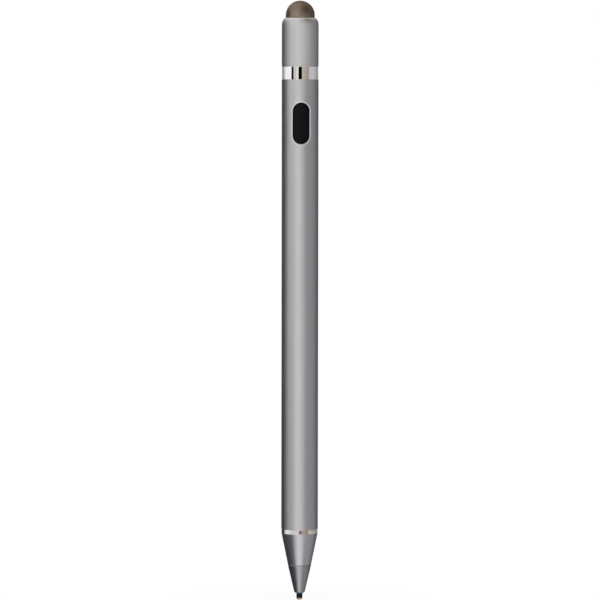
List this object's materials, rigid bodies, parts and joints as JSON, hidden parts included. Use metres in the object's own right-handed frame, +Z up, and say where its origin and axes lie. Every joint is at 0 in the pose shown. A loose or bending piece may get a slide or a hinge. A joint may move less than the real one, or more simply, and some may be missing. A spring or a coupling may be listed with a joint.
{
  "type": "stylus pen",
  "caption": "Slim rechargeable touch-screen stylus: metal barrel with an oblong button, copper nib in a tapered nose, pull-off cap with a domed fibre tip.",
  "frame": {"origin": "the point of the nib, on the pen's axis", "axes": "+Z up the pen from the nib to the fibre tip, -Y out of the button's face, +X to the right seen from the button's side"},
  "size_m": [0.009, 0.009, 0.1471],
  "materials": {
    "grey_aluminium": "satin anodised space grey",
    "dark_aluminium": "satin anodised, a little darker",
    "polished_ring": "mirror polished",
    "black_plastic": "fine moulded",
    "button_plastic": "smooth moulded",
    "copper": "plain copper",
    "brass": "gold flashed",
    "steel": "plain",
    "frame_plastic": "moulded",
    "battery_wrap": "shrink film",
    "red_wire": "insulation",
    "black_wire": "insulation",
    "white_wire": "insulation",
    "board_laminate": "solder mask",
    "chip_plastic": "moulded",
    "capacitor_ceramic": "fired",
    "tip_rubber": "soft",
    "fibre_cloth": "fine conductive knit"
  },
  "bodies": {
    "pen": {"barrel": "grey_aluminium", "front_cone": "grey_aluminium", "nib_cone": "dark_aluminium", "front_ring": "polished_ring", "tail_collar": "polished_ring", "nib_sleeve": "black_plastic", "tail_plug": "black_plastic", "nib_pin": "copper", "contact_cap": "brass", "contact_spring": "steel", "contact_plate": "brass", "inner_frame": "frame_plastic", "battery_cell": "battery_wrap", "battery_tabs": "steel", "red_lead": "red_wire", "black_lead": "black_wire", "tip_lead": "white_wire", "circuit_board": "board_laminate", "board_screws": "steel", "boost_coil": "chip_plastic", "driver_chip": "chip_plastic", "charge_chip": "chip_plastic", "chip_capacitors": "capacitor_ceramic", "ground_clip": "brass", "switch_body": "chip_plastic", "usb_shell": "steel", "usb_tongue": "black_plastic", "usb_contacts": "brass"},
    "button": {"power_button": "button_plastic", "switch_plunger": "button_plastic"},
    "cap": {"cap_shell": "grey_aluminium", "tip_base": "brass", "tip_core": "tip_rubber", "fibre_cover": "fibre_cloth"}
  },
  "joints": [
    {"name": "cap_slide", "type": "slide", "parent": "pen", "child": "cap", "axis": [0, 0, 1], "range_m": [0, 0.02]},
    {"name": "button_press", "type": "slide", "parent": "pen", "child": "button", "axis": [0, 1, 0], "range_m": [0, 0.0003], "stiffness_N_per_m": 5000}
  ]
}
